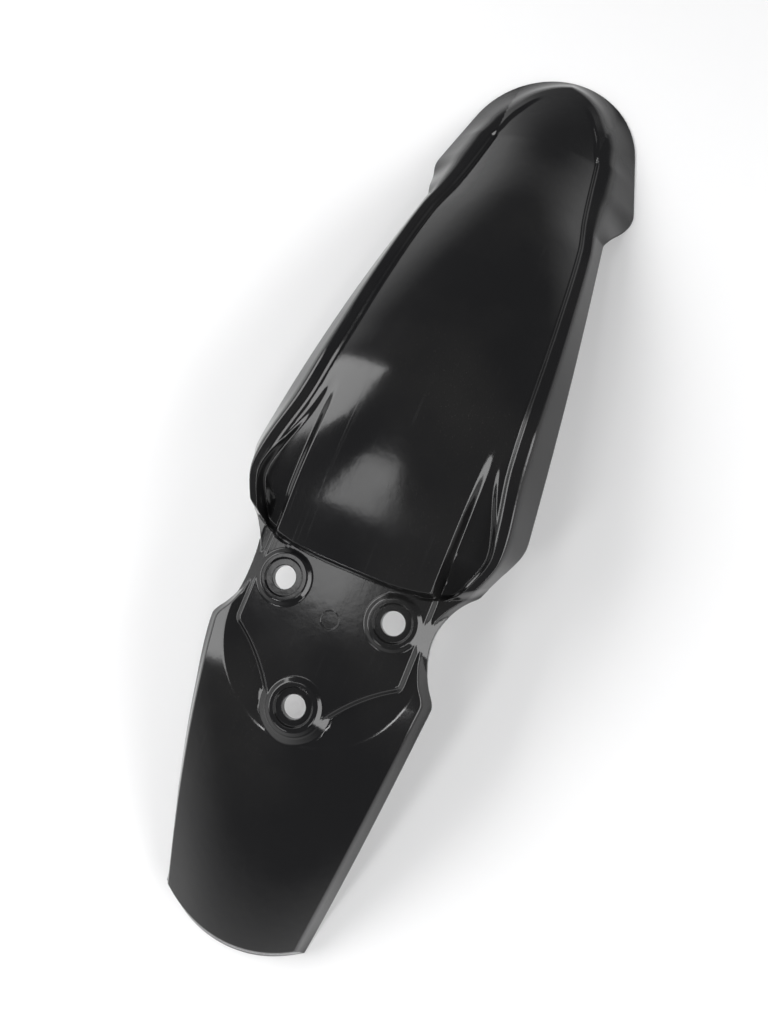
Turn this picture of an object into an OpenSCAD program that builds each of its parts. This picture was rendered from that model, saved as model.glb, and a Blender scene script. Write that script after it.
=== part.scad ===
// Front mudguard of a trail motorcycle, moulded in one piece.
// Origin: midway between the two front mounting holes, on the top of the mounting pad.
// +X points to the nose, +Y to the left, +Z up, square to the mounting pad.

/* [Mounting holes] */
// Distance between the centres of the two front holes
hole_spacing = 84; // [76:0.5:92]
// Distance of the rear hole behind the front pair
rear_hole_back = 79; // [72:0.5:86]
// Diameter of each mounting hole
hole_d = 17; // [8:0.5:20]
// Diameter of the washer seat round a hole
seat_d = 26; // [23:0.5:30]
// Depth of the washer seat below the top of its ring
seat_sink = 2; // [0.5:0.1:2.4]
// Diameter of the flat top of the raised ring
ring_d = 34; // [32:0.5:38]
// Diameter of the raised ring where it meets the pad
ring_base_d = 41; // [39:0.5:43]
// Height of the raised ring above the pad
ring_rise = 2.5; // [1:0.1:4]

/* [Mounting pad] */
// Height of the pad above the ledge round it
pad_rise = 4; // [2.5:0.25:6]
// Distance of the pad's rear corners behind the front holes
pad_corner_back = 41; // [36:0.5:46]
// Half width of the pad at its rear corners
pad_corner_half = 61.5; // [59:0.5:62]
// Radius of the pad's rear corners
pad_corner_r = 5; // [3:0.5:8]
// Radius of the hollow flanks that run in to the rear hole
flank_r = 128; // [100:1:200]
// Radius of the round ledge behind the pad
ledge_r = 72; // [70:0.5:76]
// Distance of the ledge's centre behind the front holes
ledge_back = 32; // [30:0.5:34]
// Diameter of the shallow gate mark in the middle of the pad
gate_d = 13; // [8:0.5:16]
// Depth of the gate mark
gate_sink = 0.6; // [0.3:0.1:1.2]
// Distance of the gate mark behind the front holes
gate_back = 15; // [12:0.5:24]

/* [Shell] */
// Thickness of the moulded wall
wall = 2.6; // [2:0.1:3.4]
// Reach of the nose ahead of the front holes
nose_reach = 470; // [455:1:490]
// Radius of the rounded tip of the nose
nose_r = 74; // [70:0.5:78]
// Angle at which the sides of the nose close towards its tip
nose_taper = 19; // [14:0.5:24]
// Half width of the nose across its side skirts
nose_half = 86; // [83:0.5:90]
// Reach of the tail behind the front holes
tail_reach = 283; // [260:1:300]
// Radius of the curve across the end of the tail
tail_end_r = 105; // [85:1:140]
// Half width of the tail near its end
tail_half = 62; // [57:0.5:66]
// Half width at the corners behind the fork notches
corner_half = 87; // [84:0.5:90]
// Half width of the neck between the fork notches
neck_half = 71; // [69:0.5:74]
// Radius of the fork notches behind the neck
notch_r = 60; // [54:1:68]
// Radius of the fork notches ahead of the neck
notch_front_r = 50; // [46:1:56]
// Half width across the rear ends of the side wings
wing_half = 107; // [102:0.5:112]
// Half width where the wings start behind the nose
wing_front_half = 74; // [70:0.5:78]

/* [Heights] */
// Height of the hood's rear edge above the pad
hood_rise = 6; // [3:0.5:10]
// Height of the hood's highest line above the pad
hood_top = 12; // [9:0.5:16]
// Drop of the lower edge of the nose and the tail below the pad
foot_drop = 88; // [80:1:100]
// Drop of the lower edge round the fork notches
notch_drop = 15; // [11:0.5:20]
// Depth of the valleys between the hood and the wings
valley_depth = 7; // [3:0.5:9]
// Height of the bead that runs along the shoulders
bead_rise = 2.4; // [1:0.1:4]

/* [Hidden] */

$fn = 96;

// Stations along the length, measured from the front holes
wing_rear_x = 84;
wing_front_x = 331;
nose_corner_x = 366;
nose_c = nose_reach - nose_r;
nose_c_half = nose_r / cos(nose_taper);
tail_corner_x = tail_end_r - tail_reach - sqrt(tail_end_r ^ 2 - tail_half ^ 2);
corner_x = -48;
neck_x = -1;

// The wing's rear end sweeps in to the hood's corner along this slope
sweep_x = 47;
sweep_half = 93.5;
sweep_slope = 0.446;

// Outward bow of the tail's sides and of the wings, and the rounding where two sides meet
tail_side_bow = 1.5;
wing_bow = 1.7;
side_blend = 5;
nose_blend = 4;
sweep_blend = 1.5;

// Hood: its side creases, its rear wall and the ramps at its rear corners
crease_half = 58;
hood_end_x = 18;
hood_wall_run = 6;
hood_corner_half = 88;
hood_corner_run = 20;
hood_bow = 3.2;
ramp_start_x = 64;
ramp_end_x = 36;
ramp_drop = 7;
valley_start_x = 155;
valley_full_x = 62;
valley_flank = 7;
bead_w = 9;
bead_fade = [20, 55];

// Pad: its front end runs in under the hood's rear wall, and so does the hollow below it
pad_front = 3.4;
hollow_front = 1;
pad_front_fade = [44, 55];
pad_slant = 0.8;
pad_tip_r = ring_base_d / 2 + 0.3;
flank_foot = [3, 22.5];
flank_fillet = 8;
collar_d = seat_d + 2 * wall;
seat_flare = 1;

// Tail: how fast it falls away behind the ledge, and how far its sides drop
tail_slope = 0.31;
tail_curve = 0.0005;
tail_crown = 9;
ledge_bow = 2.15;

// Width of the rim that turns down round the tail and the notches, and the nose's shoulder
tail_skirt = 8;
neck_skirt = 6;
nose_shoulder = 52;
// Bent part of a skirt, as a share of its width
skirt_bend = 0.35;
// Least thickness of the cut edge, and the most that a slope thickens the wall
rim_min = 1.4;
slope_limit = 1.7;
grad_step = 0.4;

function lerp(a, b, t) = a + (b - a) * t;
function clamp01(t) = max(0, min(1, t));
function ease(a, b, v) = let (t = clamp01((v - a) / (b - a))) t * t * (3 - 2 * t);
function blend_min(a, b, r) =
    let (h = clamp01(0.5 + (b - a) / (2 * r)))
    lerp(b, a, h) - r * h * (1 - h);

// Smooth curve through a few knots, each [place, value]
function rate(k, i) = (k[i + 1][1] - k[i][1]) / (k[i + 1][0] - k[i][0]);
function knot_slope(k, i) =
    i == 0 ? rate(k, 0)
    : i == len(k) - 1 ? rate(k, i - 1)
    : let (p = rate(k, i - 1), q = rate(k, i)) p * q <= 0 ? 0 : 2 * p * q / (p + q);
function hermite(p, q, m, n, x) = let (w = q[0] - p[0], t = (x - p[0]) / w)
    (2 * t ^ 3 - 3 * t ^ 2 + 1) * p[1] + (t ^ 3 - 2 * t ^ 2 + t) * w * m
    + (3 * t ^ 2 - 2 * t ^ 3) * q[1] + (t ^ 3 - t ^ 2) * w * n;
function along(k, x, i = 0) =
    x <= k[0][0] ? k[0][1]
    : x >= k[len(k) - 1][0] ? k[len(k) - 1][1]
    : x <= k[i + 1][0] ? hermite(k[i], k[i + 1], knot_slope(k, i), knot_slope(k, i + 1), x)
    : along(k, x, i + 1);

// Half width at the shoulders, where the side skirts begin to turn down
shoulder_knots = [[neck_x, neck_half - neck_skirt], [38, 84], [66, 93], [wing_rear_x, 91], [130, 83],
    [240, 75], [310, 68], [nose_corner_x - 25, 61], [nose_c, nose_shoulder]];
// Width of the skirt round the nose, by the angle off its tip
nose_skirt_knots = [[0, 12], [25, 19], [50, 25], [90, nose_c_half - nose_shoulder]];
// Height of the lower edge
edge_knots = [[-tail_reach, 6 - foot_drop], [tail_corner_x, -foot_drop], [-177, -54], [-107, -29],
    [corner_x, -notch_drop], [44, -notch_drop], [wing_rear_x, -notch_drop - 1], [wing_front_x, -63],
    [nose_corner_x - 2, -foot_drop], [nose_reach, -foot_drop]];
// Height of the centre line over the hood and the nose
crown_knots = [[hood_end_x, hood_rise], [wing_rear_x, hood_top], [150, hood_top - 2], [200, 1], [260, -13],
    [wing_front_x, -35], [nose_c - 15, -53], [nose_c + 30, -67], [nose_reach, -81]];
// Fall from the centre line to the shoulders
fall_knots = [[hood_end_x, 1], [wing_rear_x, 5], [150, 14], [200, 16], [wing_front_x, 17],
    [nose_c - 15, 14], [nose_reach, 5]];

// Half width of the outline at x, apart from the rounded nose
function tail_side(x) =
    let (t = (x - tail_corner_x) / (corner_x - tail_corner_x))
    lerp(tail_half, corner_half, t) + tail_side_bow * sin(180 * clamp01(t));
function notch_side(x) =
    let (r = x < neck_x ? notch_r : notch_front_r, d = min(abs(x - neck_x), r - 1))
    neck_half + r - sqrt(r ^ 2 - d ^ 2);
function sweep_side(x) = sweep_half + sweep_slope * (x - sweep_x);
function wing_side(x) =
    let (t = (x - wing_rear_x) / (wing_front_x - wing_rear_x))
    lerp(wing_half, wing_front_half, t) + wing_bow * sin(180 * clamp01(t));
function closing_side(x) = nose_c_half + (nose_c - x) * tan(nose_taper);
function nose_side(x) =
    let (t = (x - wing_front_x) / (nose_corner_x - wing_front_x))
    blend_min(lerp(wing_front_half, nose_half, t) + 1, closing_side(x), nose_blend);
function front_side(x) =
    blend_min(blend_min(notch_side(x), sweep_side(x), sweep_blend), wing_side(x), side_blend);
function half_width(x) =
    x < neck_x ? blend_min(tail_side(x), notch_side(x), side_blend)
    : x < wing_front_x - 12 ? front_side(x)
    : x < nose_c ? max(wing_side(x), nose_side(x))
    : closing_side(x);

// Reach of the nose's outline from the centre of its round tip, by the angle off the tip
function fan_edge(f) = nose_r / cos(max(0, f - 90 + nose_taper));

// Distance in from the outline: across, or out from the nose's centre
function inset(x, a) =
    x > nose_c ? fan_edge(atan2(a, x - nose_c)) - norm([x - nose_c, a])
    : x < tail_end_r - tail_reach
    ? min(half_width(x) - a, tail_end_r - norm([x - tail_end_r + tail_reach, a]))
    : half_width(x) - a;

// Width of the skirt that turns down along the edge
function skirt_width(x, a) =
    x > nose_c ? along(nose_skirt_knots, atan2(a, x - nose_c))
    : x < neck_x ? lerp(tail_skirt, neck_skirt, ease(corner_x, neck_x, x))
    : lerp(neck_skirt, half_width(x) - along(shoulder_knots, x), ease(neck_x, wing_rear_x - 20, x));

// Top of the tail and the ledge, before the skirt turns down
function tail_top(x, a) =
    let (d = max(0, sqrt(min(0, x + ledge_back) ^ 2 + a ^ 2) - ledge_r),
         side = clamp01((-x - 50) / (tail_reach - 50)))
    -pad_rise - tail_slope * d - tail_curve * d ^ 2 - tail_crown * side * (a / tail_half) ^ 2;

// Top of the hood, the wings and the nose, before the skirt turns down
function front_top(x, a) =
    let (inside = inset(x, a) - skirt_width(x, a),
         foot = (x > nose_c ? nose_shoulder : a + inside) - bead_w,
         opening = 1 - ease(valley_full_x, valley_start_x, x),
         valley_foot = lerp(crease_half + valley_flank, foot, opening),
         trough = ease(crease_half, crease_half + valley_flank, a)
             * (1 - ease(valley_foot, valley_foot + bead_w / 2, a)),
         ramp = ease(ramp_end_x, ramp_start_x, x),
         fade = x > nose_c ? ease(bead_fade[0], bead_fade[1], atan2(a, x - nose_c)) : ramp)
    along(crown_knots, x) - along(fall_knots, x) * min(1, a / foot) ^ 2
    + bead_rise * fade * (1 - ease(bead_w / 2, bead_w, inside))
    - (valley_depth * opening + ramp_drop * (1 - ramp)) * trough;

// Rear end of the hood, straight in the middle and curving forward to its corners
function hood_end(a) = hood_end_x + hood_corner_run * (a / hood_corner_half) ^ hood_bow;

function top(x, a) =
    let (rise = ease(hood_end(a), hood_end(a) + hood_wall_run, x))
    rise <= 0 ? tail_top(x, a)
    : rise >= 1 ? front_top(x, a)
    : lerp(tail_top(x, a), front_top(x, a), rise);

// Skirt: 0 at the shoulder, 1 at the edge, bent at first and then straight
function skirt(u) = u <= 0 ? 0
    : (u < skirt_bend ? u ^ 2 / (2 * skirt_bend) : u - skirt_bend / 2) / (1 - skirt_bend / 2);
function outer_z(x, y) =
    let (a = abs(y), u = min(1, 1 - inset(x, a) / skirt_width(x, a)))
    lerp(top(x, a), along(edge_knots, x), skirt(u));
function inner_z(x, y) =
    let (z = outer_z(x, y), h = grad_step,
         dx = (outer_z(x + h, y) - outer_z(x - h, y)) / (2 * h),
         dy = (outer_z(x, abs(y)) - outer_z(x, abs(y) - h)) / h,
         thick = wall * min(slope_limit, sqrt(1 + dx ^ 2 + dy ^ 2)))
    min(z - rim_min, max(z - thick, along(edge_knots, x) - rim_min));

// Each ray runs from the spine out to the edge, as [place on the spine, place on the edge, bow]:
// along the round ledge on the tail, along the hood's rear end on the neck, and straight ahead of it
function span(a, b, n) = [for (i = [0:n - 1]) i / n * (b - a) + a];
function hood_ray_end(c, e = 38, n = 8) =
    n == 0 ? e
    : hood_ray_end(c, c + hood_corner_run * (half_width(e) / hood_corner_half) ^ hood_bow, n - 1);
ledge_x = -ledge_back - ledge_r;
ledge_ray = ledge_x - 4;
ledge_ray_end = corner_x + 4;
neck_ray = ledge_x + 8;
neck_ray_end = corner_x + 14;
wall_ray = hood_end_x - 1;
ramp_ray = hood_end_x + hood_wall_run + 1;
wall_ray_end = hood_ray_end(wall_ray);
ramp_ray_end = hood_ray_end(ramp_ray);
tail_ray = tail_skirt - tail_reach;
tail_ray_end = tail_skirt + tail_corner_x;
function neck_bow(t) = t < 0.5 ? lerp(ledge_bow, 1.4, 2 * t) : lerp(1.4, hood_bow, 2 * t - 1);
side_rays = concat(
    [for (t = [0, 0.25, 0.55]) [t * tail_skirt - tail_reach, t * tail_skirt + tail_corner_x, ledge_bow]],
    [for (t = span(0, 1, 9))
        [lerp(tail_ray, ledge_ray, t), lerp(tail_ray_end, ledge_ray_end, t), ledge_bow]],
    [for (t = span(0, 1, 3))
        [lerp(ledge_ray, neck_ray, t), lerp(ledge_ray_end, neck_ray_end, t), ledge_bow]],
    [for (t = span(0, 1, 9))
        [lerp(neck_ray, wall_ray, t), lerp(neck_ray_end, wall_ray_end, t), neck_bow(t)]],
    [for (c = span(wall_ray, ramp_ray, 5)) [c, hood_ray_end(c), hood_bow]],
    [for (t = span(0, 1, 8))
        [lerp(ramp_ray, wing_rear_x, t), lerp(ramp_ray_end, wing_rear_x, t), hood_bow]],
    [for (x = span(wing_rear_x, wing_front_x - 8, 13)) [x, x, 1]],
    [for (x = span(wing_front_x - 8, nose_corner_x + 6, 8)) [x, x, 1]],
    [for (x = span(nose_corner_x + 6, nose_c, 3)) [x, x, 1]]);
fan_rays = [for (i = [0:11]) 90 - 90 * i / 11];
n_side = len(side_rays);
n_half = n_side + len(fan_rays);
n_rays = 2 * n_half - 1;

// Places along a ray: even over the crown, then close across the valley, the bead and the skirt
crown_cols = 6;
cols = crown_cols + 9;
function places(edge, skirt_w) =
    let (shoulder = edge - skirt_w, foot = shoulder - bead_w,
         crease = min(crease_half, foot - valley_flank - 4), flank = min(crease + valley_flank, foot - 4))
    concat([for (i = [0:crown_cols]) crease * i / crown_cols],
        [flank, (flank + foot) / 2, foot, foot + bead_w / 2, shoulder],
        [for (t = [0.2, 0.42, 0.7, 1]) shoulder + t * skirt_w]);
function mirrored(q) = q < n_half ? q : 2 * n_half - 2 - q;
function ray_x(ray, y) = ray[0] + (ray[1] - ray[0]) * (y / half_width(ray[1])) ^ ray[2];
function place_at(j, x) = places(half_width(x), skirt_width(x, 0))[j];
function settle(ray, j, y, n = 12) =
    n == 0 ? y : settle(ray, j, (y + place_at(j, ray_x(ray, y))) / 2, n - 1);
function ray_point(q, j) =
    let (k = mirrored(q), s = q < n_half ? 1 : -1)
    k < n_side
    ? let (ray = side_rays[k], y = j == cols ? half_width(ray[1]) : settle(ray, j, place_at(j, ray[1])))
      [ray_x(ray, y), s * y]
    : let (f = fan_rays[k - n_side], r = places(fan_edge(f), along(nose_skirt_knots, f))[j])
      [nose_c + r * cos(f), s * r * sin(f)];

// Both halves share the spine, and all rays of the fan share their centre
function id(q, j) = j > 0 ? q * (cols + 1) + j : min(mirrored(q), n_side) * (cols + 1);
n_points = n_rays * (cols + 1);
rim = concat([for (q = [0:n_rays - 1]) id(q, cols)],
    [for (j = [cols - 1:-1:0]) id(n_rays - 1, j)],
    [for (j = [1:cols - 1]) id(0, j)]);
function three(a, b, c) = a == b || b == c || a == c ? [] : [[a, b, c]];
function quad(a, b, c, d) = concat(three(a, b, c), three(a, c, d));

// The moulded sheet: outer face, inner face and the cut edge that joins them
module sheet() {
    plan = [for (q = [0:n_rays - 1], j = [0:cols]) ray_point(q, j)];
    points = concat([for (p = plan) [p[0], p[1], outer_z(p[0], p[1])]],
        [for (p = plan) [p[0], p[1], inner_z(p[0], p[1])]]);
    faces = [for (q = [0:n_rays - 2], j = [0:cols - 1], side = [0, 1])
        let (o = side * n_points, a = id(q, j) + o, b = id(q + 1, j) + o,
             c = id(q + 1, j + 1) + o, d = id(q, j + 1) + o, left = q < n_half - 1)
        each side == 0 ? (left ? quad(d, c, b, a) : quad(c, b, a, d))
        : (left ? quad(b, c, d, a) : quad(a, b, c, d))];
    n = len(rim);
    edge = [for (i = [0:n - 1]) let (a = rim[i], b = rim[(i + 1) % n])
        each quad(a + n_points, b + n_points, b, a)];
    polyhedron(points, concat(faces, edge));
}

// Point at the given distances from p and q, to the left of the way from p to q
function apex(p, q, from_p, from_q) =
    let (d = norm(q - p), u = (q - p) / d, run = (from_p ^ 2 - from_q ^ 2 + d ^ 2) / (2 * d))
    p + run * u + sqrt(from_p ^ 2 - run ^ 2) * [-u[1], u[0]];
function turn(a) = a > 180 ? a - 360 : a < -180 ? a + 360 : a;
function arc(centre, r, from, to, n) =
    let (a = atan2(from[1], from[0]), sweep = turn(atan2(to[1], to[0]) - a))
    [for (i = [0:n]) centre + r * [cos(a + sweep * i / n), sin(a + sweep * i / n)]];

// Outline of the pad, drawn in by d: front, rear corner, hollow flank, fillet and round rear tip.
// Its front end lies at the given distance ahead of the hood's end, less towards the corners
tip_c = [-rear_hole_back, 0];
corner_c = [-pad_corner_back + pad_corner_r, pad_corner_half - pad_corner_r];
flank_c = apex(flank_foot + tip_c, corner_c, flank_r, flank_r + pad_corner_r);
fillet_c = apex(flank_c, tip_c, flank_r - flank_fillet, pad_tip_r + flank_fillet);
function pad_side(d, front) = concat(
    [for (i = [0:9]) let (y = (pad_corner_half - d) * i / 9)
        [hood_end(y) + front - pad_front * ease(pad_front_fade[0], pad_front_fade[1], y), y]],
    arc(corner_c, pad_corner_r - d, [0, 1], flank_c - corner_c, 5),
    arc(flank_c, flank_r + d, corner_c - flank_c, fillet_c - flank_c, 8),
    arc(fillet_c, flank_fillet + d, fillet_c - flank_c, tip_c - fillet_c, 4),
    arc(tip_c, pad_tip_r - d, fillet_c - tip_c, [-1, 0], 10));
function pad_outline(d, front) = let (side = pad_side(d, front), n = len(side))
    concat(side, [for (i = [n - 2:-1:1]) [side[i][0], -side[i][1]]]);

// Block with the pad's outline and slanted sides. Its two ends fan out from the gate mark's place,
// from where the whole outline is in sight
module pad_block(low, low_in, high, high_in, front) {
    n = len(pad_outline(low_in, front));
    points = concat([for (p = pad_outline(low_in, front)) [p[0], p[1], low]],
        [for (p = pad_outline(high_in, front)) [p[0], p[1], high]],
        [[-gate_back, 0, low], [-gate_back, 0, high]]);
    faces = [for (i = [0:n - 1]) let (k = (i + 1) % n)
        each [[k + n, k, i], [i + n, k + n, i], [i, k, 2 * n], [k + n, i + n, 2 * n + 1]]];
    polyhedron(points, faces);
}

module at_holes() {
    for (place = [[0, hole_spacing / 2], [0, -hole_spacing / 2], [-rear_hole_back, 0]])
        translate(place) children();
}

// Raised ring with its washer seat
module boss() {
    seat_z = ring_rise - seat_sink;
    rotate_extrude() polygon([[0, -wall / 2], [ring_base_d / 2, -wall / 2], [ring_base_d / 2, 0],
        [ring_d / 2, ring_rise], [seat_d / 2 + seat_flare, ring_rise], [seat_d / 2, seat_z], [0, seat_z]]);
}

// Raised pad, and the hollow under it that keeps the wall even and leaves a collar round each hole
module pad() {
    low = -pad_rise - wall / 2;
    pad_block(low, pad_slant * low, 0, 0, pad_front);
}
module pad_hollow() {
    low = -pad_rise - wall - 1;
    wall_in = wall * sqrt(1 + pad_slant ^ 2);
    difference() {
        pad_block(low, wall_in + pad_slant * low, -wall, wall_in - pad_slant * wall, hollow_front);
        at_holes() translate([0, 0, low - 1]) cylinder(d = collar_d, h = pad_rise + wall + 2);
    }
}

module mudguard() {
    low = -pad_rise - wall - 1;
    color("#17181a") difference() {
        union() {
            sheet();
            pad();
            at_holes() boss();
        }
        pad_hollow();
        at_holes() translate([0, 0, low]) cylinder(d = hole_d, h = ring_rise - low + 1);
        translate([-gate_back, 0, -gate_sink]) cylinder(d = gate_d, h = wall);
    }
}

mudguard();
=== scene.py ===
"""Front mudguard of a trail motorcycle: one moulding in gloss black plastic, lying on a pale floor."""

import math

import bpy
import numpy as np
from mathutils import Matrix, Vector
from mathutils.geometry import delaunay_2d_cdt


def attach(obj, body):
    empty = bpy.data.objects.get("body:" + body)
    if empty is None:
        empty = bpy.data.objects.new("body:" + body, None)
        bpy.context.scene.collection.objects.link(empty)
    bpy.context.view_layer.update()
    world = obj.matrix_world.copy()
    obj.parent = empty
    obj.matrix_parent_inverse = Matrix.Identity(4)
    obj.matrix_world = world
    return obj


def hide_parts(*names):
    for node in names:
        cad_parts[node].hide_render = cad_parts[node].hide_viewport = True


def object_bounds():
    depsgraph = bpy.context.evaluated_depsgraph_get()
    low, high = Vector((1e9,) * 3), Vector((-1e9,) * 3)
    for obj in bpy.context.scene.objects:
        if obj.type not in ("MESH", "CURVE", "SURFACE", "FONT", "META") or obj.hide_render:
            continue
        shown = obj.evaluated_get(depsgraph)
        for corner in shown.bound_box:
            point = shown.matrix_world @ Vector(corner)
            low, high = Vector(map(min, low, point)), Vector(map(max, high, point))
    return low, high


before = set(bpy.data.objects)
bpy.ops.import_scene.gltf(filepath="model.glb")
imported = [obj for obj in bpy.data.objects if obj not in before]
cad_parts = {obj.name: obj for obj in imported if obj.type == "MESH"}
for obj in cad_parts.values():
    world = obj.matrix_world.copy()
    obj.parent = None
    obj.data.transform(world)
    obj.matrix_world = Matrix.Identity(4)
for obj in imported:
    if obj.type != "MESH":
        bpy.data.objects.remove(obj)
cad_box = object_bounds()

MM = 0.001

# All sizes of the moulding are in millimetres. Mounting holes
HOLE_SPACING = 84.0
REAR_HOLE_BACK = 79.0
HOLE_D = 17.0
SEAT_D = 26.0
SEAT_SINK = 2.0
SEAT_FLARE = 1.0
RING_D = 34.0
RING_BASE_D = 41.0
RING_RISE = 2.5
WALL = 2.6
COLLAR_D = SEAT_D + 2 * WALL
SEAT_Z = RING_RISE - SEAT_SINK
HOLES = [(0.0, HOLE_SPACING / 2), (0.0, -HOLE_SPACING / 2), (-REAR_HOLE_BACK, 0.0)]

# Mounting pad, with the stretch across over which its front edge fades out
PAD_RISE = 4.0
PAD_CORNER_BACK = 41.0
PAD_CORNER_HALF = 61.5
PAD_CORNER_R = 5.0
PAD_SLANT = 0.8
PAD_TIP_R = RING_BASE_D / 2 + 0.3
PAD_FRONT = 3.4
PAD_FRONT_FADE = (44.0, 55.0)
FLANK_R = 128.0
FLANK_FOOT = np.array([3.0, 22.5])
FLANK_FILLET = 8.0
COLLAR_DEPTH = PAD_RISE + WALL

# Ledge behind the pad, and the gate mark
LEDGE_R = 72.0
LEDGE_BACK = 32.0
GATE_D = 13.0
GATE_SINK = 0.6
GATE_BACK = 15.0

# Outline
NOSE_REACH = 470.0
NOSE_R = 74.0
NOSE_TAPER = 19.0
NOSE_HALF = 86.0
TAIL_REACH = 283.0
TAIL_END_R = 105.0
TAIL_HALF = 62.0
CORNER_HALF = 87.0
NECK_HALF = 71.0
NOTCH_R = 60.0
NOTCH_FRONT_R = 50.0
WING_HALF = 107.0
WING_FRONT_HALF = 74.0
WING_REAR_X = 84.0
WING_FRONT_X = 331.0
NOSE_CORNER_X = 366.0
CORNER_X = -48.0
NECK_X = -1.0
NOSE_C = NOSE_REACH - NOSE_R
TAIL_CORNER_X = TAIL_END_R - TAIL_REACH - math.sqrt(TAIL_END_R**2 - TAIL_HALF**2)
TAPER = math.radians(NOSE_TAPER)

# Straight run from the notch out to the wing's rear end
SWEEP_X = 47.0
SWEEP_HALF = 93.5
SWEEP_SLOPE = 0.446

# Where the nose's sides take over from the wings and how far out they start, and where the skirt
# has reached its full width
NOSE_SIDE_X, NOSE_SIDE_OUT = WING_FRONT_X - 12, 1
SKIRT_FULL_X = WING_REAR_X - 20

# How far the sides bow out, and how softly the outline's stretches meet
TAIL_SIDE_BOW = 1.5
WING_BOW = 1.7
SIDE_BLEND = 5.0
NOSE_BLEND = 4.0
SWEEP_BLEND = 1.5

# Heights
HOOD_RISE = 6.0
HOOD_TOP = 12.0
FOOT_DROP = 88.0
NOTCH_DROP = 15.0

# Hood: its rear wall, creases, valleys and beads
CREASE_HALF = 58.0
HOOD_END_X = 18.0
HOOD_WALL_RUN = 6.0
HOOD_CORNER_HALF = 88.0
HOOD_CORNER_RUN = 20.0
HOOD_BOW = 3.2
RAMP_START_X = 64.0
RAMP_END_X = 36.0
RAMP_DROP = 7.0
VALLEY_DEPTH = 7.0
VALLEY_FLANK = 7.0
VALLEY_START_X = 155.0
VALLEY_FULL_X = 62.0
BEAD_RISE = 2.4
BEAD_W = 9.0
BEAD_FADE = (20.0, 55.0)

# Tail: its fall behind the ledge, and the bow of the ledge's edge
TAIL_SLOPE = 0.31
TAIL_CURVE = 0.0005
TAIL_CROWN = 9.0
TAIL_CROWN_BACK = 50.0
LEDGE_BOW = 2.15

# Skirts and wall
TAIL_SKIRT = 8.0
NECK_SKIRT = 6.0
NOSE_SHOULDER = 52.0
SKIRT_BEND = 0.35
RIM_MIN = 1.4
SLOPE_LIMIT = 1.7
GRAD_STEP = 0.4

# Small radii that only the finished moulding shows
PAD_EDGE = 1.2
PAD_FOOT = 0.9
LEDGE_EDGE = 1.6
RING_EDGE = 0.45
SEAT_EDGE = 0.35
GATE_EDGE = 0.45
COLLAR_EDGE = 0.3
RIM_ROUND = 0.7
BORE_ROUND = 0.6


def lerp(a, b, t):
    return a + (b - a) * t


def ease(a, b, v):
    t = np.clip((v - a) / (b - a), 0, 1)
    return t * t * (3 - 2 * t)


def soft_min(a, b, r):
    h = np.clip(0.5 + (b - a) / (2 * r), 0, 1)
    return lerp(b, a, h) - r * h * (1 - h)


def soft_max(a, b, r):
    return -soft_min(-a, -b, r)


def curve(knots):
    """Smooth curve through a few knots, with no overshoot between them."""
    place, value = np.array(knots, float).T
    rate = np.diff(value) / np.diff(place)
    p, q = rate[:-1], rate[1:]
    inner = np.where(p * q > 0, 2 * p * q / np.where(p + q == 0, 1, p + q), 0)
    slope = np.concatenate([rate[:1], inner, rate[-1:]])

    def at(x):
        x = np.clip(x, place[0], place[-1])
        i = np.clip(np.searchsorted(place, x, side="right") - 1, 0, len(place) - 2)
        w = place[i + 1] - place[i]
        t = (x - place[i]) / w
        start = (2 * t**3 - 3 * t**2 + 1) * value[i] + (t**3 - 2 * t**2 + t) * w * slope[i]
        end = (3 * t**2 - 2 * t**3) * value[i + 1] + (t**3 - t**2) * w * slope[i + 1]
        return start + end

    return at


shoulder_half = curve([
    [NECK_X, NECK_HALF - NECK_SKIRT], [38, 84], [66, 93], [WING_REAR_X, 91], [130, 83], [240, 75],
    [310, 68], [NOSE_CORNER_X - 25, 61], [NOSE_C, NOSE_SHOULDER],
])
nose_skirt = curve([[0, 12], [25, 19], [50, 25], [90, NOSE_R / math.cos(TAPER) - NOSE_SHOULDER]])
edge_height = curve([
    [-TAIL_REACH, 6 - FOOT_DROP], [TAIL_CORNER_X, -FOOT_DROP], [-177, -54], [-107, -29],
    [CORNER_X, -NOTCH_DROP], [44, -NOTCH_DROP], [WING_REAR_X, -NOTCH_DROP - 1], [WING_FRONT_X, -63],
    [NOSE_CORNER_X - 2, -FOOT_DROP], [NOSE_REACH, -FOOT_DROP],
])
crown_height = curve([
    [HOOD_END_X, HOOD_RISE], [WING_REAR_X, HOOD_TOP], [150, HOOD_TOP - 2], [200, 1], [260, -13],
    [WING_FRONT_X, -35], [NOSE_C - 15, -53], [NOSE_C + 30, -67], [NOSE_REACH, -81],
])
crown_fall = curve([
    [HOOD_END_X, 1], [WING_REAR_X, 5], [150, 14], [200, 16], [WING_FRONT_X, 17],
    [NOSE_C - 15, 14], [NOSE_REACH, 5],
])


def fan_angle(x, a):
    return np.degrees(np.arctan2(a, x - NOSE_C))


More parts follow.
